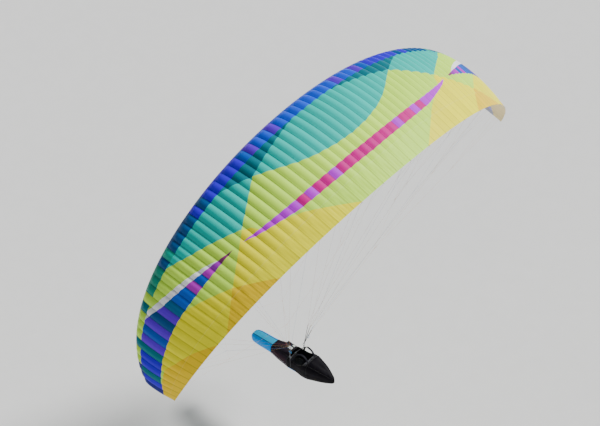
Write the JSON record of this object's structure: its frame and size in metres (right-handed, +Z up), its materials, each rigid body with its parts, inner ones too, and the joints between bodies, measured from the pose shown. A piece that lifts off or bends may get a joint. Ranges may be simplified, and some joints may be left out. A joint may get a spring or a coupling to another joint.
{
  "type": "paraglider",
  "caption": "Paraglider with an arched ram-air canopy, line cascades, fanned risers, carabiners and a reclined pod harness that pitches at the hook-in points.",
  "frame": {"origin": "air hold point on the canopy's chord line at its middle, straight above the harness hinge", "axes": "+Z up, flight towards -Y, +X towards the left wing tip"},
  "size_m": [10.4368, 2.7709, 8.0309],
  "materials": {
    "canopy_cloth": "coated ripstop nylon, satin",
    "line_sheath": "unsheathed aramid and sheathed polyethylene",
    "brake_line": "braided",
    "black_webbing": "woven",
    "handle_webbing": "woven",
    "anodised_alloy": "anodised",
    "steel": "polished",
    "pulley_plastic": "moulded",
    "blue_cover": "stretch fabric over foam",
    "dark_cover": "stretch fabric",
    "black_cover": "coated cloth",
    "foam": "covered foam",
    "seat_mesh": "spacer mesh over foam",
    "carbon": "carbon laminate",
    "instrument_case": "moulded",
    "red_webbing": "woven"
  },
  "bodies": {
    "wing": {"canopy_centre": "canopy_cloth", "canopy_inner_left": "canopy_cloth", "canopy_inner_right": "canopy_cloth", "canopy_outer_left": "canopy_cloth", "canopy_outer_right": "canopy_cloth", "canopy_tip_left": "canopy_cloth", "canopy_tip_right": "canopy_cloth", "a_lines_left": "line_sheath", "a_lines_right": "line_sheath", "b_lines_left": "line_sheath", "b_lines_right": "line_sheath", "c_lines_left": "line_sheath", "c_lines_right": "line_sheath", "brake_lines_left": "brake_line", "brake_lines_right": "brake_line", "riser_left": "black_webbing", "riser_right": "black_webbing", "carabiner_left": "anodised_alloy", "carabiner_right": "anodised_alloy", "brake_pulley_left": "pulley_plastic", "brake_pulley_right": "pulley_plastic", "brake_handle_left": "handle_webbing", "brake_handle_right": "handle_webbing", "quick_link_a_left": "steel", "quick_link_a_right": "steel", "quick_link_b_left": "steel", "quick_link_b_right": "steel", "quick_link_c_left": "steel", "quick_link_c_right": "steel"},
    "harness": {"foot_cover": "blue_cover", "leg_pod": "dark_cover", "seat_shell": "black_cover", "tail_fairing": "black_cover", "seat_protector": "foam", "back_pad": "seat_mesh", "seat_plate": "carbon", "seat_pad": "seat_mesh", "foot_board": "carbon", "speed_bar": "anodised_alloy", "instrument_deck": "dark_cover", "instrument_large": "instrument_case", "instrument_small": "instrument_case", "hang_strap_left": "black_webbing", "hang_strap_right": "black_webbing", "shoulder_strap_left": "black_cover", "shoulder_strap_right": "black_cover", "leg_strap_left": "black_webbing", "leg_strap_right": "black_webbing", "chest_strap_left": "black_webbing", "chest_strap_right": "black_webbing", "chest_buckle": "anodised_alloy", "reserve_pocket": "black_cover", "reserve_handle": "red_webbing"}
  },
  "joints": [
    {"name": "harness_pitch", "type": "hinge", "parent": "wing", "child": "harness", "pos_m": [0, 0, -7.2], "axis": [1, 0, 0], "range_deg": [-20, 35]}
  ]
}
